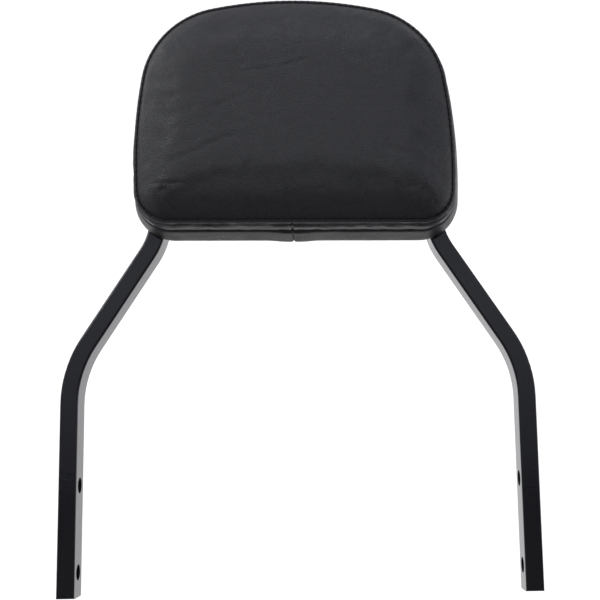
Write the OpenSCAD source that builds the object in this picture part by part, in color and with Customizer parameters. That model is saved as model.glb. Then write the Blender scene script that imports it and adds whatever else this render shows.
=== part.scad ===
// Sissy bar with an upholstered backrest pad.
// One bent flat bar makes both legs and the arch, two cross straps are welded
// inside the arch, and the pad is screwed to the straps from behind.
// Frame: origin midway between the legs on the axis of the lower bolt holes,
// +X to the right seen from the rider's side, +Z up, -Y towards the rider's back.

/* [Bar] */
// Width of the flat bar across its front face
bar_w = 12.7; // [11:0.1:16]
// Depth of the flat bar from front to back
bar_t = 22.2; // [20:0.2:26]
// Radius on the long edges of the bar
bar_edge_r = 1.6; // [0.8:0.2:2.4]
// Clear width between the inner faces of the two legs
leg_gap = 312; // [300:1:330]
// Height from the end of the legs to the top of the arch
bar_h = 433; // [425:1:450]
// Angle of the leaning stretch from upright
lean = 33; // [31:0.5:34]
// Distance from the top of the arch down to the knee where the legs lean in
knee_drop = 275; // [270:1:283]
// Centre-line radius of the knee bend
knee_r = 80; // [70:1:90]
// Centre-line radius of the bend back to upright
neck_r = 50; // [40:1:60]
// Centre-line radius of the arch
arch_r = 100; // [98:0.5:102]
// Rounding of the corners at the leg ends
end_r = 3; // [1:0.5:5]

/* [Leg bolt holes] */
// Diameter of the bolt that fixes each leg
leg_bolt_d = 10; // [8:0.5:12]
// Clearance of the leg bolt in its hole, on the diameter
leg_bolt_play = 1; // [0.4:0.1:1.5]
// Distance from the leg end to the lower hole
hole_end = 17; // [14:0.5:20]
// Distance between the two holes of a leg
hole_pitch = 60; // [50:1:70]

/* [Straps] */
// Height of a cross strap
strap_h = 25; // [22:1:28]
// Thickness of a cross strap
strap_t = 4; // [3:0.5:5]
// Distance from the top of the arch down to the upper strap's centre
strap_drop = 62; // [58:1:64]
// Distance between the centres of the two straps
strap_pitch = 80; // [74:1:82]
// Sideways distance between the screws of one strap
screw_gap = 100; // [80:1:120]
// Throat of the weld bead at each end of a strap
weld_r = 3; // [2:0.5:4]

/* [Pad] */
// Overall width of the pad
pad_w = 233; // [228:1:240]
// Overall height of the pad
pad_h = 172.5; // [168:0.5:178]
// Height of the pad's middle above the middle between the straps
pad_rise = 4.75; // [3:0.25:7]
// Depth of the rear band, from the back of the pad to the second seam
rear_band_t = 22; // [20:1:25]
// Depth of the front band, between its two seams
front_band_t = 20; // [18:1:23]
// Radius of the roll from the front seam to the front panel
roll_r = 10; // [8:0.5:12]
// Height of the crown in the middle of the front panel
crown = 4; // [2:0.5:6]
// Radius of the pad's lower corners
corner_r = 29; // [26:0.5:34]
// Radius of the pad's top edge
top_r = 293; // [270:1:330]
// Radius of the pad's shoulders
shoulder_r = 66; // [60:1:72]
// Thickness of the cover material
skin = 1.2; // [0.8:0.1:1.6]
// Thickness of the base board
board_t = 8; // [7:0.5:10]

/* [Fixings] */
// Diameter of the pad screws
screw_d = 6; // [5:0.5:6]
// Length of the pad screws under the head
screw_l = 20; // [18:1:24]
// Clearance of a screw in its hole, on the diameter
screw_play = 0.6; // [0.4:0.1:1]

/* [Hidden] */
$fn = 96;
fit = 0.3;
cloth = 0.8;
// Length by which two stretches of one body run into each other
lap = 0.2;
// Height of the step where they do, which keeps their faces apart
step = 0.01;
// Length by which the inside of a pad body runs on into the profile swept round it
tuck = 0.5;
// The legs
leg_x = leg_gap / 2 + bar_w / 2;
base_z = -hole_end;
hole_r = (leg_bolt_d + leg_bolt_play) / 2;
front = -bar_t / 2;
back = bar_t / 2;
// The bends, by the height where each starts and ends
knee_z = bar_h - knee_drop;
knee_cut = knee_r * tan(lean / 2);
neck_cut = neck_r * tan(lean / 2);
neck_z = knee_z + (leg_x - arch_r) / tan(lean);
lean_l = (leg_x - arch_r) / sin(lean) - knee_cut - neck_cut;
arch_z = bar_h - bar_w / 2 - arch_r;
arch_in = arch_r - bar_w / 2;
arch_leg = arch_z - neck_z - neck_cut;
// Heights of the two straps, and of the pad's lower edge between them
strap_zs = [bar_h - strap_drop - strap_pitch, bar_h - strap_drop];
pad_low = (strap_zs[0] + strap_zs[1] - pad_h) / 2 + pad_rise;
// The pad's outline: top arc, shoulders, long side arcs and lower corners
widest_h = 51;
side_r = 400;
side_z = pad_low + widest_h;
top_c = [0, pad_low + pad_h - top_r];
side_c = [pad_w / 2 - side_r, side_z];
near_r = top_r - shoulder_r;
far_r = side_r - shoulder_r;
gap_c = norm(top_c - side_c);
along = (near_r * near_r - far_r * far_r + gap_c * gap_c) / (2 * gap_c);
across = sqrt(near_r * near_r - along * along);
dir_c = (side_c - top_c) / gap_c;
shoulder_c = top_c + along * dir_c + across * [-dir_c[1], dir_c[0]] * (dir_c[0] < 0 ? -1 : 1);
corner_z = pad_low + corner_r;
corner_run = side_r - corner_r;
corner_c = [side_c[0] + sqrt(corner_run * corner_run - pow(corner_z - side_z, 2)), corner_z];
// Directions of the points where one arc of the outline meets the next
top_end = atan2(shoulder_c[1] - top_c[1], shoulder_c[0] - top_c[0]);
side_top = atan2(shoulder_c[1] - side_c[1], shoulder_c[0] - side_c[0]);
side_low = atan2(corner_c[1] - side_c[1], corner_c[0] - side_c[0]);
// How far the seams sit inside the outline
seam_in = 3.3;
roll_in = 8.2;
cap_in = roll_in + roll_r;
seam_y = rear_band_t;
roll_y = rear_band_t + front_band_t;
cap_y = roll_y + roll_r;
crown_y = cap_y + crown;
crown_in = corner_r - 2;
band_chord = norm([front_band_t, roll_in - seam_in]);
band_sag = 2.6;
band_r = (band_chord * band_chord / 4 + band_sag * band_sag) / (2 * band_sag);
bulge_out = [front_band_t, roll_in - seam_in] / band_chord;
bulge_c = [-(seam_in + roll_in) / 2, (seam_y + roll_y) / 2] - (band_r - band_sag) * bulge_out;
bulge_a0 = atan2(seam_y - bulge_c[1], -seam_in - bulge_c[0]);
bulge_a1 = atan2(roll_y - bulge_c[1], -roll_in - bulge_c[0]);
bulge_steps = 4;
bulge_da = (bulge_a1 - bulge_a0) / bulge_steps;
roll_steps = 5;
hem_w = 18;
// The screws
screw_r = screw_d / 2;
screw_hole_r = (screw_d + screw_play) / 2;
nut_r = 4;
flange_r = 9.5;
flange_t = 1.4;
washer_t = 1.6;
head_r = 5.3;
head_t = 3.3;
head_rim = 0.6;
key_r = 2.3;
slit = 0.8;
thread_gap = 0.1;
prong_r = 6.6;
prong_t = 1.2;
prong_w = 2;
prong_l = 4;
// The staples, with the gap between two of them in the straight lower row
staple_wire = 0.6;
staple_w = 10;
staple_leg = 5;
staple_gap = 20;
staple_fit = 0.05;

// Rounded section of the flat bar, centred, made smaller by d on each side
module bar_section(d) {
  square([bar_w - 2 * bar_edge_r, bar_t - 2 * d], center = true);
  square([bar_w - 2 * d, bar_t - 2 * bar_edge_r], center = true);
  for (sx = [-1, 1])
    for (sy = [-1, 1])
      translate([sx * (bar_w / 2 - bar_edge_r), sy * (bar_t / 2 - bar_edge_r)])
        circle(bar_edge_r - d);
}

// A straight length of bar that rises from the origin
module bar_run(l) {
  linear_extrude(l)
    bar_section(0);
}

// A bend that starts upright at the origin and turns towards -X
module bar_bend(r, a) {
  translate([-r, 0, 0])
    rotate([90, 0, 0])
      rotate_extrude(angle = a)
        translate([r, 0])
          bar_section(step);
}

// One leg with its knee, leaning stretch and neck, on the right-hand side
module half_bar() {
  knee_h = knee_z - knee_cut;
  translate([leg_x, 0, 0])
    intersection() {
      bar_run(knee_h + lap);
      leg_end(knee_h);
    }
  translate([leg_x, 0, knee_h])
    bar_bend(knee_r, lean);
  translate([leg_x, 0, knee_z])
    rotate([0, -lean, 0])
      translate([0, 0, knee_cut - lap])
        bar_run(lean_l + 2 * lap);
  translate([arch_r, 0, neck_z + neck_cut])
    mirror([0, 0, 1])
      mirror([1, 0, 0])
        bar_bend(neck_r, lean);
  translate([arch_r, 0, neck_z + neck_cut - lap])
    bar_run(arch_leg + 2 * lap);
}

// Side outline of a leg end with its two rounded corners
module leg_end(h) {
  rotate([90, 0, 90])
    linear_extrude(bar_w + 2, center = true) {
      translate([front - 1, end_r])
        square([bar_t + 2, h]);
      translate([front + end_r, 0])
        square([bar_t - 2 * end_r, h]);
      for (sy = [-1, 1])
        translate([sy * (bar_t / 2 - end_r), end_r])
          circle(end_r);
    }
}

module upright_bar() {
  color([0.05, 0.05, 0.055])
    translate([0, 0, base_z])
      difference() {
        union() {
          half_bar();
          mirror([1, 0, 0])
            half_bar();
          translate([0, 0, arch_z])
            rotate([90, 0, 0])
              rotate_extrude(angle = 180)
                translate([arch_r, 0])
                  bar_section(step);
        }
        for (z = [hole_end, hole_end + hole_pitch])
          translate([0, 0, z])
            rotate([0, 90, 0])
              cylinder(r = hole_r, h = 2 * leg_x + 2 * bar_w, center = true);
      }
}

// Region inside the arch between the straight arms, for the ends of the straps
module arch_inside(r, h) {
  translate([0, front - 1, arch_z])
    rotate([-90, 0, 0])
      cylinder(r = r, h = h + 2);
  translate([-r, front - 1, arch_z - arch_leg])
    cube([2 * r, h + 2, arch_leg]);
}

// A cross strap, cut to the inside of the arch, with a weld bead along each end
module strap(z) {
  color([0.05, 0.05, 0.055])
    translate([0, 0, base_z])
      difference() {
        intersection() {
          union() {
            translate([-arch_in, front, z - strap_h / 2])
              cube([2 * arch_in, strap_t, strap_h]);
            strap_weld();
          }
          arch_inside(z > arch_z ? arch_in - fit : arch_in, strap_t + weld_r);
          translate([-arch_in, front, z - strap_h / 2])
            cube([2 * arch_in, strap_t + weld_r, strap_h]);
        }
        for (s = [-1, 1])
          translate([s * screw_gap / 2, front - 1, z])
            rotate([-90, 0, 0])
              cylinder(r = screw_hole_r, h = strap_t + 2);
      }
}

// The line of weld that runs round the inside of the arch behind the straps
module strap_weld() {
  for (s = [-1, 1])
    translate([s * arch_in, front + strap_t, arch_z - arch_leg])
      cylinder(r = weld_r, h = arch_leg);
  translate([0, front + strap_t, arch_z])
    rotate([90, 0, 0])
      rotate_extrude(angle = 180)
        translate([arch_in, 0])
          circle(weld_r, $fn = 48);
}

module lower_strap() {
  strap(strap_zs[0]);
}

module upper_strap() {
  strap(strap_zs[1]);
}

// Flat outline of the pad, moved outwards by d, drawn in X and Y
module pad_outline(d) {
  toe_z = side_c[1] + (side_r + d) * sin(side_low);
  intersection() {
    translate(top_c)
      circle(top_r + d);
    translate(side_c)
      circle(side_r + d);
    translate([-side_c[0], side_c[1]])
      circle(side_r + d);
    translate([-pad_w, toe_z])
      square([2 * pad_w, pad_h]);
    outline_shoulders(d);
  }
  for (s = [-1, 1])
    translate([s * corner_c[0], corner_c[1]])
      circle(corner_r + d);
  translate([-corner_c[0], corner_c[1] - corner_r - d])
    square([2 * corner_c[0], toe_z + 1 - corner_c[1] + corner_r + d]);
}

// Area that the arcs of the shoulders leave, open below and in the middle
module outline_shoulders(d) {
  tip = top_c + (top_r + d) * [cos(top_end), sin(top_end)];
  hip = side_c + (side_r + d) * [cos(side_top), sin(side_top)];
  for (s = [-1, 1])
    translate([s * shoulder_c[0], shoulder_c[1]])
      circle(shoulder_r + d);
  translate([-tip[0], pad_low])
    square([2 * tip[0], pad_h + top_r]);
  translate([-pad_w, pad_low])
    square([2 * pad_w, hip[1] - pad_low]);
}

// Places the pad: drawn flat with its back at height 0 and its front upwards
module pad_place() {
  translate([0, front, base_z])
    rotate([90, 0, 0])
      children();
}

// Prism of the pad's outline, moved outwards by d, between two depths
module pad_slab(d, z0, z1) {
  translate([0, 0, z0])
    linear_extrude(z1 - z0)
      pad_outline(d);
}

// Sweeps a profile along one arc of the outline, from angle a0 to a1
module sweep_arc(c, r, a0, a1) {
  more = atan(lap / r);
  translate([c[0], c[1], 0])
    rotate([0, 0, a0 - more])
      rotate_extrude(angle = a1 - a0 + 2 * more)
        translate([r, 0])
          children();
}

// Sweeps a profile once round the pad; X is outwards from the outline, Y the depth
module round_pad() {
  sweep_arc(top_c, top_r, top_end, 180 - top_end)
    children();
  for (m = [0, 1])
    mirror([m, 0, 0]) {
      sweep_arc(shoulder_c, shoulder_r - step, side_top, top_end)
        children();
      sweep_arc(side_c, side_r, side_low, side_top)
        children();
      sweep_arc(corner_c, corner_r - step, -90, side_low)
        children();
    }
  translate([corner_c[0] + lap, pad_low, 0])
    rotate([90, 0, -90])
      linear_extrude(2 * corner_c[0] + 2 * lap)
        children();
}

// The slice of a body between two depths
module between(z0, z1) {
  intersection() {
    children();
    translate([-pad_w, 0, z0])
      cube([2 * pad_w, 2 * bar_h, z1 - z0]);
  }
}

// The point on the line from p through q, one millimetre past q
function past(p, q) = q + (q - p) / norm(q - p);

// Area inside the rear band, grown by d: upright wall, then a slope to the seam
module rear_area(d, inner) {
  wall = [d, cloth + board_t];
  tip = past(wall, [d - seam_in, seam_y]);
  polygon([[inner, -1], [d, -1], wall, tip, [inner, tip[1]]]);
}

// Points on the bulge of the front band from seam to seam, grown by d
function bulge_points(d) = [for (i = [0:bulge_steps])
  bulge_c + (band_r + d) * [cos(bulge_a0 + i * bulge_da), sin(bulge_a0 + i * bulge_da)]];

// Points on the roll from the front seam to the front panel, grown by d
function roll_points(d) = [for (a = [0:90 / roll_steps:90])
  [-cap_in, roll_y] + (roll_r + d) * [cos(a), sin(a)]];

// Points in the opposite order
function turned(p) = [for (i = [len(p) - 1:-1:0]) p[i]];

// Edge of the foam inside the cover, with its ends carried on past its flat faces
module foam_profile() {
  inner = skin + fit;
  foot = past([-seam_in - inner, seam_y], [-inner, cloth + board_t]);
  crest = past([-cap_in, cap_y - inner], [-crown_in, crown_y - inner]);
  polygon(concat([[crest[0], foot[1]], foot], bulge_points(-inner), roll_points(-inner), [crest]));
}

// The roll and the crown of the front panel, grown by d, down past the front seam
module cap_body(d) {
  roll = roll_points(d);
  foot = past(roll[1], roll[0]);
  crest = past([-cap_in, cap_y + d], [-crown_in, crown_y + d]);
  round_pad()
    polygon(concat([[crest[0], foot[1]], foot], [for (i = [1:roll_steps]) roll[i]], [crest]));
  pad_slab(-crown_in - tuck, foot[1] + lap, crest[1] - lap / 2);
}

// Moulded base board with a rebate for the hem and a hole for each T-nut
module base_board() {
  color([0.08, 0.08, 0.08])
    pad_place()
      difference() {
        union() {
          pad_slab(-skin - fit, cloth + skin, cloth + board_t);
          pad_slab(-hem_w - fit, cloth, cloth + skin);
        }
        at_screws()
          cylinder(r = nut_r + fit, h = 3 * board_t, center = true);
        at_screws()
          nut_prongs(fit);
        at_staples()
          staple(staple_fit);
      }
}

module foam_core() {
  inner = skin + fit;
  floor_z = cloth + board_t;
  color([0.75, 0.72, 0.6])
    pad_place()
      difference() {
        between(floor_z, crown_y - inner)
          union() {
            pad_slab(-crown_in - tuck, floor_z - tuck, crown_y - inner + fit);
            round_pad()
              foam_profile();
          }
        at_screws()
          cylinder(r = flange_r + fit, h = 2 * (floor_z + flange_t + fit), center = true);
        at_screws()
          cylinder(r = screw_r + 1, h = 2 * (screw_l - strap_t), center = true);
      }
}

// Front panel of the cover, rolled over at its edge down to the front seam
module front_panel() {
  color([0.06, 0.06, 0.065])
    pad_place()
      difference() {
        between(roll_y, crown_y)
          cap_body(0);
        between(roll_y - 1, crown_y - skin)
          cap_body(-skin);
      }
}

// Front boxing band, bulged out between its two seams
module front_band() {
  color([0.06, 0.06, 0.065])
    pad_place()
      round_pad()
        polygon(concat(bulge_points(0), turned(bulge_points(-skin))));
}

// Rear boxing band, wrapped round the board and turned in behind it
module rear_band() {
  color([0.06, 0.06, 0.065])
    pad_place()
      difference() {
        between(cloth, seam_y)
          difference() {
            round_pad()
              rear_area(0, -hem_w);
            between(cloth + skin, seam_y + 2)
              round_pad()
                rear_area(-skin, -hem_w - 1);
          }
        at_staples()
          staple(staple_fit);
      }
}

// Thin cloth that closes the back of the pad
module back_cover() {
  color([0.03, 0.03, 0.03])
    pad_place()
      difference() {
        pad_slab(-skin, 0, cloth);
        at_screws()
          cylinder(r = screw_hole_r, h = 3 * cloth, center = true);
      }
}

// Repeats a piece at the four screws of the pad
module at_screws() {
  for (i = [0:3])
    at_screw(i)
      children();
}

// Places a piece at one screw: 0 and 1 in the lower strap, 2 and 3 in the upper
module at_screw(i) {
  translate([(i % 2 == 0 ? -1 : 1) * screw_gap / 2, strap_zs[floor(i / 2)], 0])
    children();
}

// Places a staple on an arc of the outline, in the middle of the hem
module on_arc(c, r, a) {
  translate([c[0], c[1], 0])
    rotate([0, 0, a])
      translate([r - hem_w / 2, 0, 0])
        children();
}

// Repeats a staple round the hem, at angles of the top and at shares of the other arcs
module at_staples() {
  for (a = [-9:4.5:9])
    on_arc(top_c, top_r, 90 + a)
      children();
  for (m = [0, 1])
    mirror([m, 0, 0]) {
      for (a = [0.1:0.27:0.95])
        on_arc(shoulder_c, shoulder_r, side_top + a * (top_end - side_top))
          children();
      for (a = [0.15:0.28:0.75])
        on_arc(side_c, side_r, side_low + a * (side_top - side_low))
          children();
      on_arc(corner_c, corner_r, -45)
        children();
    }
  for (i = [-3.5:3.5])
    translate([i * staple_gap, pad_low + hem_w / 2, 0])
      rotate([0, 0, 90])
        children();
}

// One staple, its crown along Y flush with the hem, grown by g
module staple(g) {
  wide = staple_wire + 2 * g;
  translate([-wide / 2, -staple_w / 2 - g, cloth])
    cube([wide, staple_w + 2 * g, staple_wire + g]);
  for (s = [-1, 1])
    translate([-wide / 2, s * (staple_w - staple_wire) / 2 - wide / 2, cloth])
      cube([wide, wide, staple_leg + g]);
}

module staples() {
  color([0.6, 0.6, 0.62])
    pad_place()
      at_staples()
        staple(0);
}

// Four prongs of a T-nut, pressed into the board from the front, grown by g
module nut_prongs(g) {
  for (a = [0:90:270])
    rotate([0, 0, a])
      translate([prong_r - g, -prong_w / 2 - g, cloth + board_t - prong_l - g])
        cube([prong_t + 2 * g, prong_w + 2 * g, prong_l + g]);
}

// T-nut: flange on the front of the board, barrel through it, threaded bore
module t_nut(i) {
  floor_z = cloth + board_t;
  color([0.65, 0.64, 0.6])
    pad_place()
      at_screw(i) {
        difference() {
          union() {
            translate([0, 0, floor_z])
              cylinder(r = flange_r, h = flange_t);
            translate([0, 0, cloth + fit])
              cylinder(r = nut_r, h = board_t);
          }
          cylinder(r = screw_r + thread_gap, h = 3 * board_t, center = true);
        }
        nut_prongs(0);
      }
}

module flat_washer(i) {
  color([0.1, 0.1, 0.1])
    pad_place()
      at_screw(i)
        translate([0, 0, -strap_t - washer_t])
          difference() {
            cylinder(r = 2 * screw_r, h = washer_t);
            translate([0, 0, -1])
              cylinder(r = screw_hole_r, h = washer_t + 2);
          }
}

// Split spring washer, cut through at a slant
module lock_washer(i) {
  color([0.1, 0.1, 0.1])
    pad_place()
      at_screw(i)
        translate([0, 0, -strap_t - 2 * washer_t])
          difference() {
            cylinder(r = 1.75 * screw_r, h = washer_t);
            translate([0, 0, -1])
              cylinder(r = screw_hole_r, h = washer_t + 2);
            translate([screw_r, 0, washer_t / 2])
              rotate([20, 0, 0])
                cube([2 * screw_r, slit, 4 * washer_t], center = true);
          }
}

// Button-head screw with a hexagon socket, put in from behind the strap
module pad_screw(i) {
  dome_t = head_t - head_rim;
  dome_r = (head_r * head_r + dome_t * dome_t) / (2 * dome_t);
  color([0.04, 0.04, 0.04])
    pad_place()
      at_screw(i)
        translate([0, 0, -strap_t - 2 * washer_t]) {
          difference() {
            rotate_extrude()
              intersection() {
                translate([0, dome_r - head_t])
                  circle(dome_r);
                translate([0, -head_t])
                  square([head_r, head_t]);
              }
            translate([0, 0, -head_t - 1])
              linear_extrude(head_t / 2 + 1)
                polygon([for (a = [0:60:300]) key_r * [cos(a), sin(a)]]);
          }
          cylinder(r = screw_r, h = screw_l);
        }
}

upright_bar();
lower_strap();
upper_strap();
base_board();
foam_core();
front_panel();
front_band();
rear_band();
back_cover();
staples();
t_nut(0);  // t_nut_1
t_nut(1);  // t_nut_2
t_nut(2);  // t_nut_3
t_nut(3);  // t_nut_4
flat_washer(0);  // flat_washer_1
flat_washer(1);  // flat_washer_2
flat_washer(2);  // flat_washer_3
flat_washer(3);  // flat_washer_4
lock_washer(0);  // lock_washer_1
lock_washer(1);  // lock_washer_2
lock_washer(2);  // lock_washer_3
lock_washer(3);  // lock_washer_4
pad_screw(0);  // pad_screw_1
pad_screw(1);  // pad_screw_2
pad_screw(2);  // pad_screw_3
pad_screw(3);  // pad_screw_4
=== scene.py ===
import math

import bmesh
import bpy
from mathutils import Matrix, Vector, kdtree, noise


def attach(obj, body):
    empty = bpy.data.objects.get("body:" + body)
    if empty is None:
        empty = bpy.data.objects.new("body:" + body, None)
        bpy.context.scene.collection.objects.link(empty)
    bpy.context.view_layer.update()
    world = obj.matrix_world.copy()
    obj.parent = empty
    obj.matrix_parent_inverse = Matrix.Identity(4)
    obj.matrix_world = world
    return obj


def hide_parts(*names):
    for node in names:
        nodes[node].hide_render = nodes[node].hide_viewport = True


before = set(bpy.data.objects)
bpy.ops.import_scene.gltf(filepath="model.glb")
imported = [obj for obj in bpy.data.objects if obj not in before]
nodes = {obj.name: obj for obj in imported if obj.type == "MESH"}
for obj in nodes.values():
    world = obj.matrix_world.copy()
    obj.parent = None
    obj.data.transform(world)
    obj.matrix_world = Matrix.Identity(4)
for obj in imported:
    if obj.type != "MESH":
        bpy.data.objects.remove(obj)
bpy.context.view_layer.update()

# Bar. One flat steel bar, bent cold into two legs and an arch, with its long
# edges rounded. It is polished smooth, then dipped in gloss black enamel, which
# gathers into a thin shine along each edge.


def linear(code):
    """An sRGB hex colour as the linear colour that a shader takes."""
    parts = [int(code[i:i + 2], 16) / 255 for i in (1, 3, 5)]
    return [c / 12.92 if c <= 0.04045 else ((c + 0.055) / 1.055) ** 2.4 for c in parts] + [1.0]


def add(tree, kind, settings=None, **links):
    """Adds a node; a link names an input and gives a value or another node's output."""
    made = tree.nodes.new(kind)
    for key, value in (settings or {}).items():
        setattr(made, key, value)
    for key, value in links.items():
        socket = made.inputs[int(key[1:]) if key[1:].isdigit() else key.replace("_", " ")]
        if isinstance(value, bpy.types.NodeSocket):
            tree.links.new(value, socket)
        else:
            socket.default_value = value
    return made


def material(name):
    """An empty material with its tree and its output node."""
    made = bpy.data.materials.new(name)
    made.use_nodes = True
    made.node_tree.nodes.clear()
    return made, made.node_tree, made.node_tree.nodes.new("ShaderNodeOutputMaterial")


# Gloss enamel over steel: a smooth black skin that mirrors the room, with an IOR a
# little under the usual 1.5 to keep the fronts dark. It waves about 4 mm from crest
# to crest, and dust in it, drawn 1 mm wide so that it shows, changes the gloss.
enamel, tree, out = material("gloss_black_enamel")
place = add(tree, "ShaderNodeTexCoord").outputs["Object"]
wave = add(tree, "ShaderNodeTexNoise", Vector=place, Scale=240.0, Detail=2.0)
dust = add(tree, "ShaderNodeTexNoise", Vector=place, Scale=900.0, Detail=4.0)
gloss = add(tree, "ShaderNodeMapRange", Value=dust.outputs["Fac"], From_Min=0.3, From_Max=0.8,
            To_Min=0.07, To_Max=0.16)
tint = add(tree, "ShaderNodeMix", {"data_type": "RGBA"}, Factor=dust.outputs["Fac"],
           _6=linear("#121214"), _7=linear("#1d1d20"))
peel = add(tree, "ShaderNodeBump", Height=wave.outputs["Fac"], Strength=0.06, Distance=0.0006)
skin = add(tree, "ShaderNodeBsdfPrincipled", Base_Color=tint.outputs[2], IOR=1.43,
           Roughness=gloss.outputs["Result"], Normal=peel.outputs["Normal"])
tree.links.new(skin.outputs["BSDF"], out.inputs["Surface"])


def paint(obj, finish):
    """Gives an object one material."""
    obj.data.materials.clear()
    obj.data.materials.append(finish)


for name in ("upright_bar", "lower_strap", "upper_strap"):
    paint(nodes[name], enamel)

# Base board. A board moulded from black polypropylene, which stiffens the pad
# and takes the staples and the T-nuts. Only its rim would show, under the hem.

# Moulded polypropylene: dull black with a waxy look, and an etched texture whose
# pits are about 0.7 mm apart
moulded, tree, out = material("moulded_black_polypropylene")
place = add(tree, "ShaderNodeTexCoord").outputs["Object"]
spark = add(tree, "ShaderNodeTexNoise", Vector=place, Scale=1400.0, Detail=3.0)
tint = add(tree, "ShaderNodeMix", {"data_type": "RGBA"}, Factor=spark.outputs["Fac"],
           _6=linear("#141414"), _7=linear("#232323"))
etch = add(tree, "ShaderNodeBump", Height=spark.outputs["Fac"], Strength=0.3, Distance=0.0003)
skin = add(tree, "ShaderNodeBsdfPrincipled", Base_Color=tint.outputs[2], IOR=1.49, Roughness=0.55,
           Normal=etch.outputs["Normal"])
tree.links.new(skin.outputs["BSDF"], out.inputs["Surface"])
paint(nodes["base_board"], moulded)

# T-nuts. Four threaded nuts of pressed steel, driven into the board from its front,
# where the foam hides them.

# Zinc plating: a pale metal whose spangle, about 1 mm, changes its gloss
zinc, tree, out = material("zinc_plated_steel")
place = add(tree, "ShaderNodeTexCoord").outputs["Object"]
spangle = add(tree, "ShaderNodeTexNoise", Vector=place, Scale=1100.0, Detail=3.0)
gloss = add(tree, "ShaderNodeMapRange", Value=spangle.outputs["Fac"], To_Min=0.25, To_Max=0.45)
tint = add(tree, "ShaderNodeMix", {"data_type": "RGBA"}, Factor=spangle.outputs["Fac"],
           _6=linear("#9c9a94"), _7=linear("#c9c7bf"))
skin = add(tree, "ShaderNodeBsdfPrincipled", Base_Color=tint.outputs[2], Metallic=1.0,
           Roughness=gloss.outputs["Result"])
tree.links.new(skin.outputs["BSDF"], out.inputs["Surface"])
for i in "1234":
    paint(nodes["t_nut_" + i], zinc)

# Foam. A block of moulded polyurethane foam, bonded to the board and rounded at
# its front. The cover is drawn tight over it, so it never shows.

# Open-cell foam: a matt buff sponge with pores about 0.7 mm across
foam, tree, out = material("open_cell_foam")
place = add(tree, "ShaderNodeTexCoord").outputs["Object"]
cells = add(tree, "ShaderNodeTexVoronoi", Vector=place, Scale=1500.0)
tint = add(tree, "ShaderNodeMix", {"data_type": "RGBA"}, Factor=cells.outputs["Distance"],
           _6=linear("#b9ae8c"), _7=linear("#d8cfae"))
pore = add(tree, "ShaderNodeBump", Height=cells.outputs["Distance"], Strength=0.5, Distance=0.0004)
skin = add(tree, "ShaderNodeBsdfPrincipled", Base_Color=tint.outputs[2], Roughness=0.9,
           Normal=pore.outputs["Normal"])
tree.links.new(skin.outputs["BSDF"], out.inputs["Surface"])

# The pad is drawn flat, in millimetres: its outline in x and y, with the legs' ends
# at height 0, and its depth from the front of the bar. It is widest side_high above
# its lower edge.
mm = 0.001
pad_w, pad_h, pad_low = 233.0, 172.5, 249.5
top_r, shoulder_r, corner_r, side_r, side_high = 293.0, 66.0, 29.0, 400.0, 51.0
bar_front, leg_end = -11.1, -17.0


def outline():
    """The pad's outline from the middle of its lower edge, anticlockwise, as arcs and a line."""
    top_c = Vector((0, pad_low + pad_h - top_r))
    side_c = Vector((pad_w / 2 - side_r, pad_low + side_high))
    gap = (top_c - side_c).length
    near, far = top_r - shoulder_r, side_r - shoulder_r
    along = (near ** 2 - far ** 2 + gap ** 2) / (2 * gap)
    across = math.sqrt(near ** 2 - along ** 2)
    ray = (side_c - top_c) / gap
    turn = -1 if ray[0] < 0 else 1
    shoulder_c = top_c + along * ray + across * Vector((-ray[1], ray[0])) * turn
    corner_y = pad_low + corner_r
    reach = math.sqrt((side_r - corner_r) ** 2 - (corner_y - side_c[1]) ** 2)
    corner_c = Vector((side_c[0] + reach, corner_y))

    def aim(a, b):
        return math.atan2(b[1] - a[1], b[0] - a[0])

    top_a, side_a, low_a = aim(top_c, shoulder_c), aim(side_c, shoulder_c), aim(side_c, corner_c)
    half = [(corner_c, corner_r, -math.pi / 2, low_a), (side_c, side_r, low_a, side_a),
            (shoulder_c, shoulder_r, side_a, top_a), (top_c, top_r, top_a, math.pi / 2)]
    return corner_c[0], half


flat_end, arcs = outline()
half_len = flat_end + sum(r * (b - a) for c, r, a, b in arcs)
round_len = 2 * half_len


def edge_point(s):
    """Point and outward direction on the outline, s millimetres round it."""
    s = s % round_len
    flip = -1 if s > half_len else 1
    s = round_len - s if s > half_len else s
    if s <= flat_end:
        return Vector((flip * s, pad_low)), Vector((0, -1))
    s -= flat_end
    for c, r, a, b in arcs:
        if s <= r * (b - a) + 1e-6:
            t = a + s / r
            way = Vector((math.cos(t), math.sin(t)))
            spot = c + r * way
            return Vector((flip * spot[0], spot[1])), Vector((flip * way[0], way[1]))
        s -= r * (b - a)
    return Vector((0, pad_low + pad_h)), Vector((0, 1))


# A sewn cover is never quite true. This one hangs about a millimetre low and a
# little to the right, and lower the further right; it is a little full at its lower
# edge and narrows towards its top. The board holds it true up to free_depth.
hang_low, hang_top, aside_by = 1.0, 0.3, 0.7
fall, full, narrowing = 0.0146, 1.006, 0.028
free_depth = 30.0


def placed(x, y, depth):
    """From the flat drawing of the pad, in millimetres, to the frame, in metres."""
    up, deep = min(max((y - pad_low) / pad_h, 0), 1), min(depth / free_depth, 1)
    hang = (hang_low + hang_top * up + fall * x) * (1 - up * (1 - deep))
    across = (full - narrowing * up ** 4 * deep) * x + aside_by
    return Vector((across, bar_front - depth, y + leg_end - hang)) * mm


# Every row round the pad has two points to a stitch, and side_share of them are on
# each side of a grid that fills it
stitch_pitch, side_share = 4.62, 0.21
stitches = round(round_len / stitch_pitch)
around = 2 * stitches
side_count = round(around * side_share)
edge = [edge_point(i * round_len / around) for i in range(around)]


def ring(offset, depth):
    """One row of points round the pad, moved outwards by offset."""
    return [placed(*(p + offset * n), depth) for p, n in edge]


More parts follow.
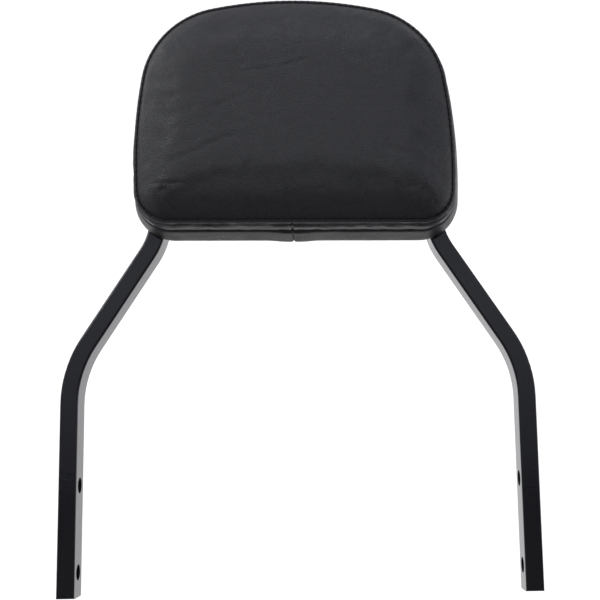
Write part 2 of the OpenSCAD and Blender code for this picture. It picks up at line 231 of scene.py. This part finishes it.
def loft(bm, rows):
    """Joins closed rows of points with faces, and returns their vertices."""
    made = [[bm.verts.new(p) for p in row] for row in rows]
    for a, b in zip(made, made[1:]):
        for i in range(len(a)):
            j = (i + 1) % len(a)
            bm.faces.new((a[i], a[j], b[j], b[i]))
    return made


def piece(name, bm, finish):
    """Turns a bmesh into a smooth object whose faces look outwards."""
    bmesh.ops.recalc_face_normals(bm, faces=bm.faces)
    bm.normal_update()
    middle = sum((v.co for v in bm.verts), Vector()) / len(bm.verts)
    if sum(f.normal.dot(f.calc_center_median() - middle) * f.calc_area() for f in bm.faces) < 0:
        bmesh.ops.reverse_faces(bm, faces=bm.faces)
    data = bpy.data.meshes.new(name)
    bm.to_mesh(data)
    bm.free()
    obj = bpy.data.objects.new(name, data)
    bpy.context.collection.objects.link(obj)
    data.materials.append(finish)
    data.polygons.foreach_set("use_smooth", [True] * len(data.polygons))
    return obj


def fill_grid(bm, rim):
    """Fills a closed row of points with a grid of quads, drawn from its four sides."""
    n = len(rim)
    wide = n // 2 - side_count
    start = -(wide // 2)
    low = [rim[(start + i) % n] for i in range(wide + 1)]
    right = [rim[(start + wide + i) % n] for i in range(side_count + 1)]
    high = [rim[(start + 2 * wide + side_count - i) % n] for i in range(wide + 1)]
    left = [rim[(start + n - i) % n] for i in range(side_count + 1)]
    grid = [low]
    for j in range(1, side_count):
        v = j / side_count
        row = [left[j]]
        for i in range(1, wide):
            u = i / wide
            spot = ((1 - v) * low[i].co + v * high[i].co + (1 - u) * left[j].co + u * right[j].co
                    - (1 - u) * (1 - v) * low[0].co - u * (1 - v) * low[-1].co
                    - (1 - u) * v * high[0].co - u * v * high[-1].co)
            row.append(bm.verts.new(spot))
        row.append(right[j])
        grid.append(row)
    grid.append(high)
    for a, b in zip(grid, grid[1:]):
        for i in range(wide):
            bm.faces.new((a[i], a[i + 1], b[i + 1], b[i]))


# How far out from the outline and how deep each row of the foam is, from the board
# to the front: tucked in under the second seam and rounded over under the panel
foam_rows = [(-2.1, 6.7), (-2.0, 9.0), (-2.4, 13.0), (-3.2, 16.5), (-5.8, 19.5), (-8.0, 22.0),
             (-6.8, 25.0), (-6.4, 28.0), (-6.9, 32.0), (-8.2, 35.5), (-9.6, 38.0), (-12.0, 41.6),
             (-15.0, 45.2), (-18.0, 48.0), (-21.6, 50.0)]
bm = bmesh.new()
rows = loft(bm, [ring(offset, depth) for offset, depth in foam_rows])
fill_grid(bm, rows[0])
fill_grid(bm, rows[-1])
foam_block = piece("foam_block", bm, foam)
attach(foam_block, "root")
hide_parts("foam_core")

# Cover. Three pieces of black expanded vinyl with a fine leather grain: a front
# panel, a front band and a rear band, sewn edge to edge and drawn over the foam.


def apply_modifiers(obj):
    """Writes an object's modifiers into its mesh."""
    graph = bpy.context.evaluated_depsgraph_get()
    data = bpy.data.meshes.new_from_object(obj.evaluated_get(graph))
    obj.modifiers.clear()
    obj.data = data
    data.polygons.foreach_set("use_smooth", [True] * len(data.polygons))


# Expanded vinyl: black and half matt, so that it shows soft broad lights. Its grain
# is pressed in, with cells about 1.4 mm across parted by fine valleys. Stretched
# over the foam it also shows fine lines that run across the pad, about 7 mm long
# and 1.4 mm apart, and a slight waviness 12 mm long.
vinyl, tree, out = material("grained_black_vinyl")
place = add(tree, "ShaderNodeTexCoord").outputs["Object"]
bend = add(tree, "ShaderNodeTexNoise", Vector=place, Scale=120.0, Detail=3.0)
shift = add(tree, "ShaderNodeVectorMath", {"operation": "MULTIPLY_ADD"}, _0=bend.outputs["Color"],
            _1=(0.0012, 0.0012, 0.0012), _2=place)
cells = add(tree, "ShaderNodeTexVoronoi", {"feature": "DISTANCE_TO_EDGE"}, Vector=shift.outputs["Vector"],
            Scale=720.0)
valley = add(tree, "ShaderNodeMapRange", {"interpolation_type": "SMOOTHSTEP"},
             Value=cells.outputs["Distance"], From_Min=0.0, From_Max=0.22, To_Min=0.0, To_Max=1.0)
drawn = add(tree, "ShaderNodeMapping", Vector=place, Scale=(150.0, 400.0, 700.0))
lines = add(tree, "ShaderNodeTexNoise", Vector=drawn.outputs["Vector"], Scale=1.0, Detail=4.0)
slow = add(tree, "ShaderNodeTexNoise", Vector=place, Scale=85.0, Detail=3.0)
height = add(tree, "ShaderNodeMath", {"operation": "MULTIPLY_ADD"}, _0=lines.outputs["Fac"], _1=0.8,
             _2=valley.outputs["Result"])
tint = add(tree, "ShaderNodeMix", {"data_type": "RGBA"}, Factor=valley.outputs["Result"],
           _6=linear("#19191a"), _7=linear("#262628"))
gloss = add(tree, "ShaderNodeMapRange", Value=slow.outputs["Fac"], From_Min=0.3, From_Max=0.7,
            To_Min=0.4, To_Max=0.5)
swell = add(tree, "ShaderNodeBump", Height=slow.outputs["Fac"], Strength=0.12, Distance=0.002)
grain = add(tree, "ShaderNodeBump", Height=height.outputs["Value"], Strength=0.7, Distance=0.00022,
            Normal=swell.outputs["Normal"])
skin = add(tree, "ShaderNodeBsdfPrincipled", Base_Color=tint.outputs[2], IOR=1.52,
           Roughness=gloss.outputs["Result"], Normal=grain.outputs["Normal"])
tree.links.new(skin.outputs["BSDF"], out.inputs["Surface"])


def inflate(obj, held, pressure, slack, most):
    """Lets the foam swell a piece as cloth that is held at its seams, up to most millimetres."""
    moments = 20
    group = obj.vertex_groups.new(name="held")
    for index, weight in held.items():
        group.add([index], weight, "REPLACE")
    start = [v.co.copy() for v in obj.data.vertices]
    cloth = obj.modifiers.new("cloth", "CLOTH")
    cloth.settings.vertex_group_mass = "held"
    cloth.settings.use_pressure = True
    cloth.settings.uniform_pressure_force = pressure
    cloth.settings.shrink_min = -slack
    cloth.settings.bending_stiffness = 0.1
    cloth.settings.effector_weights.gravity = 0.0
    cloth.collision_settings.use_collision = False
    cloth.point_cache.frame_start, cloth.point_cache.frame_end = 1, moments
    for moment in range(1, moments + 1):
        bpy.context.scene.frame_set(moment)
    graph = bpy.context.evaluated_depsgraph_get()
    swollen = [v.co.copy() for v in obj.evaluated_get(graph).data.vertices]
    obj.modifiers.clear()
    obj.vertex_groups.clear()
    bpy.context.scene.frame_set(1)
    for v, a, b in zip(obj.data.vertices, start, swollen):
        move = b - a
        far = move.length
        v.co = a + move * (most * mm * math.tanh(far / (most * mm)) / far if far > 0 else 1)


# Front panel. It is rolled over the edge of the foam down to the front seam, where
# each stitch draws it in a little. The foam is crowned, so it stands fullest in
# the middle, and a few shallow creases stay in it from the packing.

# Millimetres: how far in from the outline and how deep the panel leaves the seam,
# and how far it rises from there, over rise_run; then the crown over all of it
roll_in, roll_depth, roll_rise, rise_run, crown = 7.3, 40.0, 14.8, 60.0, 2.8
# How far a stitch pulls the vinyl in, fading out over pull_run
pull, pull_run = 0.45, 3.0


def drawn_in(i, deep):
    """How far the vinyl is pulled in at point i: every second one has a stitch."""
    return -deep if i % 2 == 0 else 0.0


def panel_depth(inside):
    """Depth of the front panel so far inside the seam, in millimetres."""
    t = min(inside / rise_run, 1)
    return roll_depth + roll_rise * (1 - (1 - t) ** 5)


panel_rows = [(-8.6, 38.6, 0.0), (-7.9, 39.6, 0.2)]
for inside in (0.15, 0.6, 1.4, 2.6, 4.2, 6.2, 8.7, 11.5, 14.5, 17.5):
    panel_rows.append((-roll_in - inside, panel_depth(inside), pull * max(0, 1 - inside / pull_run)))


def puckered(row, points):
    """One row of points round the pad, drawn in at each stitch."""
    offset, depth, deep = row
    return [placed(*(p + (offset + drawn_in(i, deep)) * n), depth)
            for i, (p, n) in enumerate(points)]


bm = bmesh.new()
rows = loft(bm, [puckered(row, edge) for row in panel_rows])
fill_grid(bm, rows[-1])
# The grid takes its depth from how far each point is inside the outline
rim = kdtree.KDTree(around)
for i, (p, n) in enumerate(edge):
    rim.insert(placed(p[0], p[1], roll_depth), i)
rim.balance()
on_rows = {v for row in rows for v in row}
for v in bm.verts:
    if v not in on_rows:
        inside = rim.find(Vector((v.co.x, (bar_front - roll_depth) * mm, v.co.z)))[2] / mm - roll_in
        v.co.y = (bar_front - panel_depth(inside)) * mm
bm.verts.index_update()
# The seam holds the first rows fast, and the next two less and less
held = {v.index: weight for row, weight in zip(rows, (1, 1, 1, 1, 0.6, 0.2)) for v in row}
front_panel = piece("vinyl_front_panel", bm, vinyl)
inflate(front_panel, held, pressure=4.0, slack=0.006, most=1.0)

# Creases: from and to, then how deep and how wide, all in millimetres
creases = [((-38, 356), (-10, 359), 0.3, 1.4), ((-12, 359), (14, 365), 0.28, 1.3),
           ((-98, 281), (-70, 279), 0.3, 1.4), ((-84, 294), (-36, 314), 0.25, 2.2),
           ((60, 303), (84, 296), 0.2, 2.2), ((-8, 271), (22, 274), 0.15, 2.0),
           ((-60, 330), (-30, 341), 0.2, 2.0), ((30, 345), (58, 340), 0.15, 2.0)]


def crease_depth(x, y):
    """How far the front of the panel lies under its smooth form at a spot."""
    sway_most, lip, beside = 1.6, 0.5, 1.6
    total = 0.0
    for (ax, ay), (bx, by), deep, wide in creases:
        run = Vector((bx - ax, by - ay))
        spot = Vector((x - ax, y - ay))
        t = spot.dot(run) / run.length_squared
        near = spot - min(max(t, 0), 1) * run
        sway = sway_most * noise.noise(Vector((x * 0.05, y * 0.05, deep * 40)))
        aside = near.length * (1 if run.cross(spot) > 0 else -1) + sway
        fade = max(0.0, 1 - (2 * t - 1) ** 4) if 0 < t < 1 else 0.0
        fold = math.exp(-(aside / wide) ** 2)
        ridge = math.exp(-((aside - beside * wide) / wide) ** 2)
        total += deep * fade * (fold - lip * ridge)
    return total


def finer(obj):
    """Subdivides a piece once."""
    smooth = obj.modifiers.new("smooth", "SUBSURF")
    smooth.levels = smooth.render_levels = 1
    apply_modifiers(obj)


finer(front_panel)
# Creases, ripples and crown start ease_from in front of the seam and are whole
# ease_run further on. The ripples are 9 to 14 mm long, and finer ones 4 to 6 mm.
ease_from, ease_run = 2.0, 8.0
for v in front_panel.data.vertices:
    x, y = v.co.x / mm, v.co.z / mm - leg_end
    proud = -v.co.y / mm + bar_front - roll_depth
    ease = min(1.0, max(0.0, (proud - ease_from) / ease_run))
    ripple = 0.1 * noise.noise(Vector((x * 0.07, y * 0.11, 3)))
    ripple += 0.05 * noise.noise(Vector((x * 0.16, y * 0.24, 9)))
    dome = crown * max(0, 1 - (2 * x / pad_w) ** 2)
    dome *= max(0, 1 - (2 * (y - pad_low) / pad_h - 1) ** 2)
    v.co.y += (crease_depth(x, y) + ripple - dome) * ease * mm

# Bands. Each is a strip of the same vinyl, joined at the middle of the lower edge.
# The front band is folded into a bead where it meets the panel, and bulges between
# its two seams. The rear band stands nearly straight and is turned in behind the
# board, under the staples. Both dip into the second seam and into their joint.

# The joint lies a little left of the middle. It needs points closer together than
# the stitches. It is a groove joint_half to each side of it, and the bands swell
# for swell_half beyond.
joint, joint_half, swell_half = -2.2, 0.6, 13.0
close = [-1.5, -0.9, -0.5, -0.2, 0.2, 0.5, 0.9, 1.5]
stops = [joint + c for c in close] + [joint + i * round_len / around for i in range(1, around)]
band_edge = [(s, *edge_point(s)) for s in stops]


def band_ring(offset, depth, deep=0.0, wave=0.0, groove=0.0, proud=0.0):
    """One row of a band: drawn in by the stitches, wavy at the seam, sunk at the joint."""
    row = []
    for s, p, n in band_edge:
        off = (s - joint + half_len) % round_len - half_len
        stitch = 0.5 + 0.5 * math.cos(2 * math.pi * s / (round_len / stitches))
        out = offset - deep * stitch + wave * noise.noise(Vector((s * 0.11, depth * 0.3, 5)))
        out += proud * math.exp(-(off / swell_half) ** 4) - groove * math.exp(-(off / joint_half) ** 2)
        lift = 0.6 * wave * noise.noise(Vector((s * 0.17, 1, depth * 0.1)))
        row.append(placed(*(p + out * n), depth + lift))
    return row


# Rows of the front band from the front seam to the second: how far out, how deep
# and, on the bead, how far the stitches pull it in
bm = bmesh.new()
bead = [(-8.65, 39.0, 0.0), (-7.55, 39.8, 0.2), (-6.95, 40.25, 0.7), (-6.25, 40.4, 0.7),
        (-5.6, 40.0, 0.55), (-5.25, 39.3, 0.4), (-5.3, 38.3, 0.2)]
body = [(-5.7, 37.2), (-6.05, 36.4), (-5.9, 35.6), (-5.25, 34.7), (-4.6, 33.8), (-4.2, 33.0),
        (-3.95, 32.0), (-3.8, 30.5), (-3.7, 28.5), (-3.65, 26.5), (-3.75, 25.0), (-4.05, 23.8)]
rows = [band_ring(o, d, deep, groove=1.0) for o, d, deep in bead]
rows += [band_ring(o, d, wave=0.2, groove=1.3, proud=0.3) for o, d in body]
rows += [band_ring(-4.6, 22.8, wave=0.4, groove=1.0, proud=0.3), band_ring(-6.4, 22.0, wave=0.4)]
made = loft(bm, rows)
bm.verts.index_update()
# The front seam holds the bead, and the second seam the last two rows
held = {v.index: 1 for row in made[:len(bead)] + made[-2:] for v in row}
front_band = piece("vinyl_front_band", bm, vinyl)
inflate(front_band, held, pressure=3.0, slack=0.01, most=0.4)

# Rows of the rear band, from under the board round its edge and up to the seam
bm = bmesh.new()
wrap = [(-18.0, 0.8), (-10.0, 0.8), (-3.0, 0.8), (-1.0, 1.1), (-0.1, 2.4), (0.1, 4.2), (0.0, 6.0),
        (-0.35, 8.0)]
rise = [(-0.75, 10.0), (-1.15, 12.0), (-1.55, 14.0), (-1.95, 16.0), (-2.35, 18.0), (-2.65, 19.4),
        (-3.0, 20.4)]
rows = [band_ring(o, d) for o, d in wrap[:3]]
rows += [band_ring(o, d, wave=0.1, groove=1.2, proud=0.9) for o, d in wrap[3:]]
rows += [band_ring(o, d, wave=0.15, groove=1.3, proud=0.9) for o, d in rise]
rows += [band_ring(-4.0, 21.3, wave=0.4, groove=1.0, proud=0.5), band_ring(-6.4, 22.1, wave=0.4)]
loft(bm, rows)
rear_band = piece("vinyl_rear_band", bm, vinyl)
for obj in (front_band, rear_band):
    finer(obj)

vinyl_thick = 1.2
for obj in (front_panel, front_band, rear_band):
    shell = obj.modifiers.new("shell", "SOLIDIFY")
    shell.thickness = vinyl_thick * mm
    shell.offset = -1
    apply_modifiers(obj)
    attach(obj, "root")
    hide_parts(obj.name.replace("vinyl_", ""))

# Stitches. A row of bonded nylon thread through the bead of the front band, four
# or five millimetres to a stitch, that dives into the vinyl at each end.

# Bonded nylon: a dull black thread, whose ply shows as lines 0.7 mm apart
nylon, tree, out = material("bonded_nylon_thread")
place = add(tree, "ShaderNodeTexCoord").outputs["Object"]
ply = add(tree, "ShaderNodeTexWave", {"bands_direction": "DIAGONAL"}, Vector=place, Scale=900.0)
tint = add(tree, "ShaderNodeMix", {"data_type": "RGBA"}, Factor=ply.outputs["Fac"],
           _6=linear("#060607"), _7=linear("#0e0e10"))
twist = add(tree, "ShaderNodeBump", Height=ply.outputs["Fac"], Strength=0.4, Distance=0.0001)
skin = add(tree, "ShaderNodeBsdfPrincipled", Base_Color=tint.outputs[2], IOR=1.53, Roughness=0.5,
           Normal=twist.outputs["Normal"])
tree.links.new(skin.outputs["BSDF"], out.inputs["Surface"])
# Millimetres: the thread's radius, where it lies on the bead, and how deep it dives.
# Of each stitch, hidden is left before it and shown is in sight. It has six sides,
# and thins to a quarter where it dives.
thread_r, bead_out, bead_depth, dive = 0.42, -7.25, 40.5, 0.9
hidden, shown, sides = 0.1, 0.8, 6
bm = bmesh.new()
for i in range(stitches):
    rows = []
    for t in (0.0, 0.12, 0.3, 0.5, 0.7, 0.88, 1.0):
        p, n = edge_point((i + hidden + shown * t) * round_len / stitches)
        sink = dive * (2 * t - 1) ** 4
        core = placed(*(p + (bead_out - 0.5 * sink) * n), bead_depth - sink)
        out_way, front_way = Vector((n[0], 0, n[1])), Vector((0, -1, 0))
        fat = thread_r * mm * (1 - 0.75 * abs(2 * t - 1) ** 3)
        rows.append([bm.verts.new(core + fat * (math.cos(a) * out_way + math.sin(a) * front_way))
                     for a in [k * 2 * math.pi / sides for k in range(sides)]])
    for a, b in zip(rows, rows[1:]):
        for k in range(sides):
            bm.faces.new((a[k], a[(k + 1) % sides], b[(k + 1) % sides], b[k]))
    bm.faces.new(rows[0])
    bm.faces.new(rows[-1])
seam_thread = piece("seam_thread", bm, nylon)
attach(seam_thread, "root")

# Staples and back cover. Wire staples hold the hem of the rear band to the board,
# and a thin woven cloth over the back hides them.
paint(nodes["staples"], zinc)

# Woven dust cloth: matt black, with threads drawn 1.2 mm apart so that they show
cloth, tree, out = material("black_woven_dust_cloth")
place = add(tree, "ShaderNodeTexCoord").outputs["Object"]
weft = add(tree, "ShaderNodeTexWave", {"bands_direction": "X"}, Vector=place, Scale=260.0)
warp = add(tree, "ShaderNodeTexWave", {"bands_direction": "Z"}, Vector=place, Scale=260.0)
weave = add(tree, "ShaderNodeMath", {"operation": "MAXIMUM"}, _0=weft.outputs["Fac"], _1=warp.outputs["Fac"])
tint = add(tree, "ShaderNodeMix", {"data_type": "RGBA"}, Factor=weave.outputs["Value"],
           _6=linear("#0d0d0d"), _7=linear("#1e1e1f"))
threads = add(tree, "ShaderNodeBump", Height=weave.outputs["Value"], Strength=0.5, Distance=0.0002)
skin = add(tree, "ShaderNodeBsdfPrincipled", Base_Color=tint.outputs[2], Roughness=0.9,
           Normal=threads.outputs["Normal"])
tree.links.new(skin.outputs["BSDF"], out.inputs["Surface"])
paint(nodes["back_cover"], cloth)

# Pad screws and washers. Four button-head screws of black steel pass through the
# straps from behind into the T-nuts, each with a lock washer and a flat washer.

# Black oxide on steel: a dark metal with a satin gloss that varies over 0.8 mm
blackened, tree, out = material("black_oxide_steel")
place = add(tree, "ShaderNodeTexCoord").outputs["Object"]
spangle = add(tree, "ShaderNodeTexNoise", Vector=place, Scale=1300.0, Detail=3.0)
gloss = add(tree, "ShaderNodeMapRange", Value=spangle.outputs["Fac"], To_Min=0.3, To_Max=0.5)
tint = add(tree, "ShaderNodeMix", {"data_type": "RGBA"}, Factor=spangle.outputs["Fac"],
           _6=linear("#2a2a2c"), _7=linear("#414144"))
skin = add(tree, "ShaderNodeBsdfPrincipled", Base_Color=tint.outputs[2], Metallic=1.0,
           Roughness=gloss.outputs["Result"])
tree.links.new(skin.outputs["BSDF"], out.inputs["Surface"])
for i in "1234":
    for name in ("flat_washer_", "lock_washer_", "pad_screw_"):
        paint(nodes[name + i], blackened)

# Studio. A pale paper sweep for floor and backdrop, a bright room above, and a
# grey felt over the floor that only reflections see, as a photographer lays one
# out to keep gloss black from greying.

# White paper: matt, with a glow for the camera and for reflections alone, so that it
# reads as lit paper without lighting the part
paper, tree, out = material("white_paper_floor")
place = add(tree, "ShaderNodeTexCoord").outputs["Object"]
fibre = add(tree, "ShaderNodeTexNoise", Vector=place, Scale=300.0)
tint = add(tree, "ShaderNodeMix", {"data_type": "RGBA"}, Factor=fibre.outputs["Fac"],
           _6=linear("#e9e7e3"), _7=linear("#efede9"))
matt = add(tree, "ShaderNodeBsdfDiffuse", Color=tint.outputs[2])
glow = add(tree, "ShaderNodeEmission", Color=(1.0, 0.995, 0.985, 1), Strength=0.53)
path = add(tree, "ShaderNodeLightPath")
seen = add(tree, "ShaderNodeMath", {"operation": "MAXIMUM"}, _0=path.outputs["Is Camera Ray"],
           _1=path.outputs["Is Glossy Ray"])
both = add(tree, "ShaderNodeMath", {"operation": "MAXIMUM"}, _0=seen.outputs["Value"],
           _1=path.outputs["Is Transmission Ray"])
dark = add(tree, "ShaderNodeEmission", Color=(0, 0, 0, 1), Strength=0.0)
shown = add(tree, "ShaderNodeMixShader", _0=both.outputs["Value"], _1=dark.outputs["Emission"],
            _2=glow.outputs["Emission"])
total = add(tree, "ShaderNodeAddShader", _0=matt.outputs["BSDF"], _1=shown.outputs["Shader"])
tree.links.new(total.outputs["Shader"], out.inputs["Surface"])
# Metres: the height of the floor, where it starts to bend up, the bend's radius,
# how far it runs out in front, how high it goes behind, and half its width
floor_z, bend_y, bend_r, front_y, top_z, half_wide = -0.10, 0.8, 0.9, -6.0, 4.0, 2.6
bm = bmesh.new()
sweep = [(front_y, floor_z), (bend_y, floor_z)]
for a in range(15, 91, 15):
    turn = math.radians(a)
    sweep.append((bend_y + bend_r * math.sin(turn), floor_z + bend_r - bend_r * math.cos(turn)))
sweep.append((bend_y + bend_r, top_z))
left = [bm.verts.new((-half_wide, y, z)) for y, z in sweep]
right = [bm.verts.new((half_wide, y, z)) for y, z in sweep]
for i in range(len(sweep) - 1):
    bm.faces.new((left[i], right[i], right[i + 1], left[i + 1]))
floor = piece("paper_sweep", bm, paper)

# Wool felt: matt grey with a soft nap
felt, tree, out = material("grey_felt_cloth")
place = add(tree, "ShaderNodeTexCoord").outputs["Object"]
nap = add(tree, "ShaderNodeTexNoise", Vector=place, Scale=200.0)
tint = add(tree, "ShaderNodeMix", {"data_type": "RGBA"}, Factor=nap.outputs["Fac"],
           _6=linear("#686868"), _7=linear("#7a7a7a"))
matt = add(tree, "ShaderNodeBsdfDiffuse", Color=tint.outputs[2])
tree.links.new(matt.outputs["BSDF"], out.inputs["Surface"])
half_felt, felt_front, felt_back, felt_z = 2.5, -5.9, 0.28, floor_z + 0.002
bm = bmesh.new()
corners = ((-half_felt, felt_front), (half_felt, felt_front), (half_felt, felt_back), (-half_felt, felt_back))
bm.faces.new([bm.verts.new((x, y, felt_z)) for x, y in corners])
flag = piece("felt_flag", bm, felt)
flag.visible_camera = flag.visible_diffuse = flag.visible_shadow = flag.visible_transmission = False

# The room is white to the camera. Reflections see it dim near the floor and dimmer
# behind the part than in front of it.
world = bpy.data.worlds.new("studio")
world.use_nodes = True
bpy.context.scene.world = world
tree = world.node_tree
tree.nodes.clear()
path = add(tree, "ShaderNodeLightPath")
seen = add(tree, "ShaderNodeMath", {"operation": "MAXIMUM"}, _0=path.outputs["Is Camera Ray"],
           _1=path.outputs["Is Transmission Ray"])
white = add(tree, "ShaderNodeBackground", Color=(1, 1, 1, 1), Strength=1.0)
aim = add(tree, "ShaderNodeTexCoord")
parts = add(tree, "ShaderNodeSeparateXYZ", Vector=aim.outputs["Generated"])
level = add(tree, "ShaderNodeMapRange", Value=parts.outputs["Z"], From_Min=0.0, From_Max=0.14, To_Min=0.36,
            To_Max=0.8)
aside = add(tree, "ShaderNodeMapRange", Value=parts.outputs["Y"], From_Min=-0.8, From_Max=0.2, To_Min=1.0,
            To_Max=0.55)
strength = add(tree, "ShaderNodeMath", {"operation": "MULTIPLY"}, _0=level.outputs["Result"],
               _1=aside.outputs["Result"])
room = add(tree, "ShaderNodeBackground", Color=linear("#eef1ff"), Strength=strength.outputs["Value"])
both = add(tree, "ShaderNodeMixShader", _0=seen.outputs["Value"], _1=room.outputs["Background"],
           _2=white.outputs["Background"])
add(tree, "ShaderNodeOutputWorld", Surface=both.outputs["Shader"])


def lamp(name, spot, target, size, power):
    """A white soft box that faces target; metres and watts."""
    light = bpy.data.lights.new(name, "AREA")
    light.shape = "RECTANGLE"
    light.size, light.size_y = size
    light.energy = power
    obj = bpy.data.objects.new(name, light)
    obj.location = spot
    obj.rotation_euler = (Vector(target) - Vector(spot)).to_track_quat("-Z", "Y").to_euler()
    bpy.context.collection.objects.link(obj)


lamp("soft_box_top", (0.0, -0.9, 1.6), (0, 0, 0.25), size=(1.2, 0.6), power=3.5)
lamp("soft_box_left", (-1.35, 0.4, 1.15), (0, 0, 0.2), size=(0.6, 0.6), power=3.0)
lamp("soft_box_right", (1.4, 0.35, 0.2), (0, 0, 0.15), size=(0.35, 0.7), power=2.5)
lamp("soft_box_front", (-1.1, -1.0, 0.9), (0, 0, 0.3), size=(0.4, 0.4), power=5.0)

# The camera stands below the middle of the pad and looks up a little. The middle of
# its lens isn't the middle of the picture, so the lens is shifted.
focal_px, image_px, sensor = 1049.7, 600.0, 36.0
centre_px = (336.1, 290.2)
eye = Vector((0.0266, -0.7576, 0.0835))
yaw, pitch, roll = math.radians(0.127), math.radians(8.528), math.radians(-0.969)
ahead = Vector((math.sin(yaw) * math.cos(pitch), math.cos(yaw) * math.cos(pitch), math.sin(pitch)))
side = Vector((math.cos(yaw), -math.sin(yaw), 0))
above = side.cross(ahead)
right_way = side * math.cos(roll) + above * math.sin(roll)
up_way = above * math.cos(roll) - side * math.sin(roll)
view = bpy.data.cameras.new("view")
view.sensor_width = sensor
view.lens = focal_px / image_px * sensor
view.shift_x = (image_px / 2 - centre_px[0]) / image_px
view.shift_y = (centre_px[1] - image_px / 2) / image_px
view.clip_end = 50.0
camera = bpy.data.objects.new("view", view)
camera.matrix_world = Matrix.Translation(eye) @ Matrix((right_way, up_way, -ahead)).transposed().to_4x4()
bpy.context.collection.objects.link(camera)
scene = bpy.context.scene
scene.camera = camera
scene.view_settings.view_transform = "Standard"
